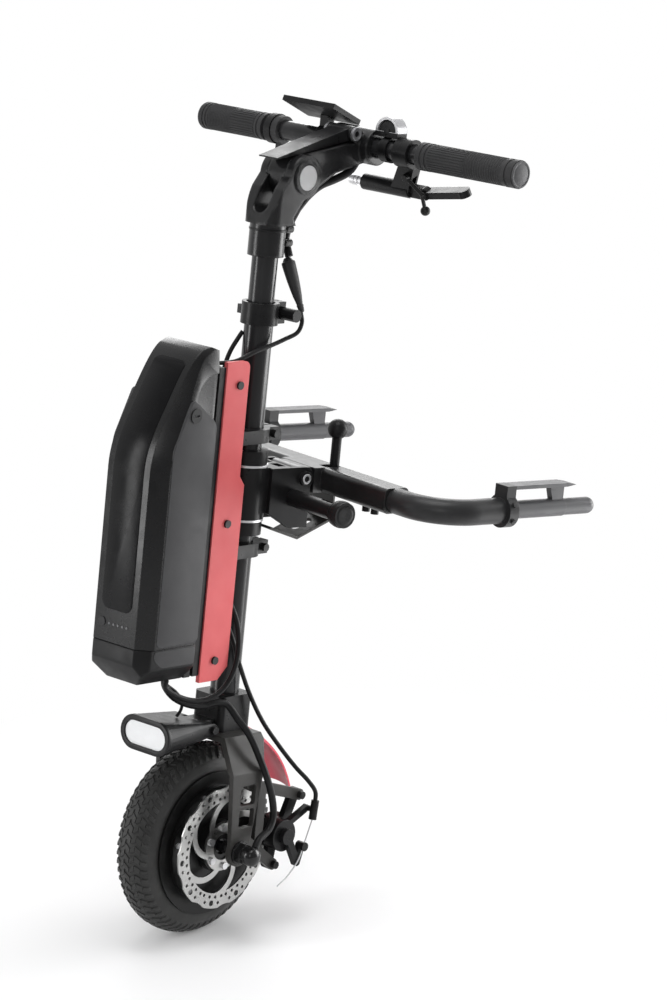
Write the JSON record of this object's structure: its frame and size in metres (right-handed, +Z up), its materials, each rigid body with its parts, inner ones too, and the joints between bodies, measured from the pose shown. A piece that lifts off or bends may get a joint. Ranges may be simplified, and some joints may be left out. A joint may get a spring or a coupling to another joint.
{
  "type": "wheelchair power assist",
  "caption": "Clip-on electric drive for a manual wheelchair: hub-motor wheel in a raked fork, battery column, height-adjustable handlebar and bent docking arms.",
  "frame": {"origin": "the point where the tyre meets the ground, below the axle's middle", "axes": "+Z up, the drive runs towards -Y, +X is the rider's left"},
  "size_m": [0.5005, 0.5548, 0.8913],
  "materials": {
    "black_paint": "black anodised and painted, satin",
    "red_paint": "red anodised, satin",
    "tyre": "moulded tread",
    "hub_black": "black, satin",
    "bright_steel": "ground",
    "dark_steel": "blackened",
    "black_plastic": "fine grain",
    "lens_white": "clear white",
    "grey_plastic": "fine grain",
    "cell_metal": "sleeved cells",
    "black_rubber": "matt"
  },
  "bodies": {
    "dock": {"dock_beam": "black_paint", "latch_plate": "black_paint", "dock_bolts": "dark_steel"},
    "arm_left": {"dock_arm_left": "black_paint"},
    "arm_right": {"dock_arm_right": "black_paint"},
    "ball_lever": {"ball_lever": "dark_steel"},
    "head": {"head_tube": "black_paint", "headset": "bright_steel", "plunger_housing": "black_paint"},
    "plunger": {"plunger_pin": "dark_steel"},
    "column": {"axle": "dark_steel", "stator": "dark_steel", "fork": "black_paint", "crown_block": "black_paint", "mudguard": "red_paint", "caliper_bracket": "black_paint", "caliper_body": "black_paint", "brake_pads": "black_plastic", "brake_hose": "black_rubber", "brake_wire": "bright_steel", "motor_cables": "black_rubber", "headlight_lead": "black_rubber", "lower_tube": "black_paint", "collars": "black_paint", "column_clamps": "black_paint", "socket_bolts": "dark_steel", "side_plates": "red_paint", "battery_rail": "black_paint", "battery_base": "black_plastic", "qr_collar": "black_paint", "connector": "black_rubber"},
    "wheel": {"tyre": "tyre", "hub_shell": "hub_black", "hub_covers": "hub_black", "wheel_screws": "bright_steel", "brake_disc": "bright_steel", "wheel_bearings": "bright_steel"},
    "headlight": {"headlight_body": "black_plastic", "headlight_lens": "lens_white"},
    "brake_arm": {"brake_arm": "black_paint"},
    "battery": {"battery_case": "black_plastic", "battery_panels": "grey_plastic", "battery_cells": "cell_metal"},
    "battery_lock": {"battery_lock": "black_plastic"},
    "power_button": {"power_button": "grey_plastic"},
    "qr_lever": {"qr_lever": "black_plastic"},
    "mast": {"upper_tube": "black_paint", "stem_base": "black_paint", "cable_bundle": "black_rubber"},
    "bar": {"stem_arm": "black_paint", "handlebar": "black_paint", "grips": "black_rubber", "throttle_body": "black_plastic", "brake_lever_body": "black_plastic", "bell": "grey_plastic", "display": "black_plastic"},
    "stem_lever": {"stem_lever": "black_plastic"},
    "throttle": {"throttle_paddle": "black_plastic"},
    "brake_lever": {"brake_lever": "black_plastic"},
    "park_lock": {"park_lock": "dark_steel"}
  },
  "joints": [
    {"name": "arm_left_slide", "type": "slide", "parent": "dock", "child": "arm_left", "axis": [0.9863, -0.1633, 0.0237], "range_m": [0, 0.03]},
    {"name": "arm_right_slide", "type": "slide", "parent": "dock", "child": "arm_right", "axis": [-0.9863, 0.1633, -0.0237], "range_m": [0, 0.03]},
    {"name": "ball_lever_tilt", "type": "hinge", "parent": "dock", "child": "ball_lever", "pos_m": [0.04018, 0.18545, 0.48833], "axis": [0.9863, -0.1633, 0.0237], "range_deg": [0, 18], "stiffness_Nm_per_rad": 0.6, "springref_deg": -22.92},
    {"name": "dock_tilt", "type": "hinge", "parent": "dock", "child": "head", "pos_m": [0.0099, 0.14474, 0.49726], "axis": [-0.9863, 0.1633, -0.0237], "range_deg": [0, 30]},
    {"name": "plunger_pull", "type": "slide", "parent": "head", "child": "plunger", "axis": [0.9863, -0.1633, 0.0237], "range_m": [0, 0.012], "stiffness_N_per_m": 800, "springref_m": -0.012},
    {"name": "steer", "type": "hinge", "parent": "head", "child": "column", "pos_m": [0, 0.08373, 0.48893], "axis": [0, 0.1435, 0.9897], "range_deg": [-64.5, 45.5]},
    {"name": "wheel_spin", "type": "hinge", "parent": "column", "child": "wheel", "pos_m": [0, 0, 0.108], "axis": [1, 0, 0], "continuous": true},
    {"name": "headlight_tilt", "type": "hinge", "parent": "column", "child": "headlight", "pos_m": [0, 0.00218, 0.24005], "axis": [1, 0, 0], "range_deg": [-10, 10], "deforming": ["headlight_lead"]},
    {"name": "brake_arm_pull", "type": "hinge", "parent": "column", "child": "brake_arm", "pos_m": [0.075, 0.07, 0.107], "axis": [1, 0, 0], "range_deg": [0, 16], "deforming": ["brake_wire"]},
    {"name": "battery_lift", "type": "slide", "parent": "column", "child": "battery", "axis": [0, 0.1435, 0.9897], "range_m": [0, 0.025]},
    {"name": "battery_key", "type": "hinge", "parent": "battery", "child": "battery_lock", "pos_m": [0.045, -0.03449, 0.60741], "axis": [1, 0, 0], "range_deg": [0, 90]},
    {"name": "power_press", "type": "slide", "parent": "battery", "child": "power_button", "axis": [0, 0.9897, -0.1435], "range_m": [0, 0.0012], "stiffness_N_per_m": 600, "springref_m": -0.001},
    {"name": "height_release", "type": "hinge", "parent": "column", "child": "qr_lever", "pos_m": [-0.0173, 0.13674, 0.6803], "axis": [0, -0.1435, -0.9897], "range_deg": [0, 95]},
    {"name": "height", "type": "slide", "parent": "column", "child": "mast", "axis": [0, 0.1435, 0.9897], "range_m": [-0.008, 0.09], "deforming": ["cable_bundle"]},
    {"name": "stem_pitch", "type": "hinge", "parent": "mast", "child": "bar", "pos_m": [0, 0.16194, 0.82761], "axis": [1, 0, 0], "range_deg": [-15, 40], "deforming": ["cable_bundle"]},
    {"name": "stem_release", "type": "hinge", "parent": "bar", "child": "stem_lever", "pos_m": [0, 0.24524, 0.86201], "axis": [-1, 0, 0], "range_deg": [0, 50]},
    {"name": "throttle_push", "type": "hinge", "parent": "bar", "child": "throttle", "pos_m": [-0.128, 0.27094, 0.84414], "axis": [1, 0, 0], "range_deg": [0, 35], "stiffness_Nm_per_rad": 0.08, "springref_deg": -22.92},
    {"name": "brake_squeeze", "type": "hinge", "parent": "bar", "child": "brake_lever", "pos_m": [0.057, 0.28473, 0.79973], "axis": [0, -0.955, -0.2965], "range_deg": [0, 9.5], "stiffness_Nm_per_rad": 0.6, "springref_deg": -22.92},
    {"name": "park_catch", "type": "hinge", "parent": "bar", "child": "park_lock", "pos_m": [0.072, 0.26755, 0.81796], "axis": [0, -0.955, -0.2965], "range_deg": [0, 20]}
  ],
  "couplings": [
    {"joint": "brake_arm_pull", "follows": "brake_squeeze", "ratio": 1.25}
  ]
}
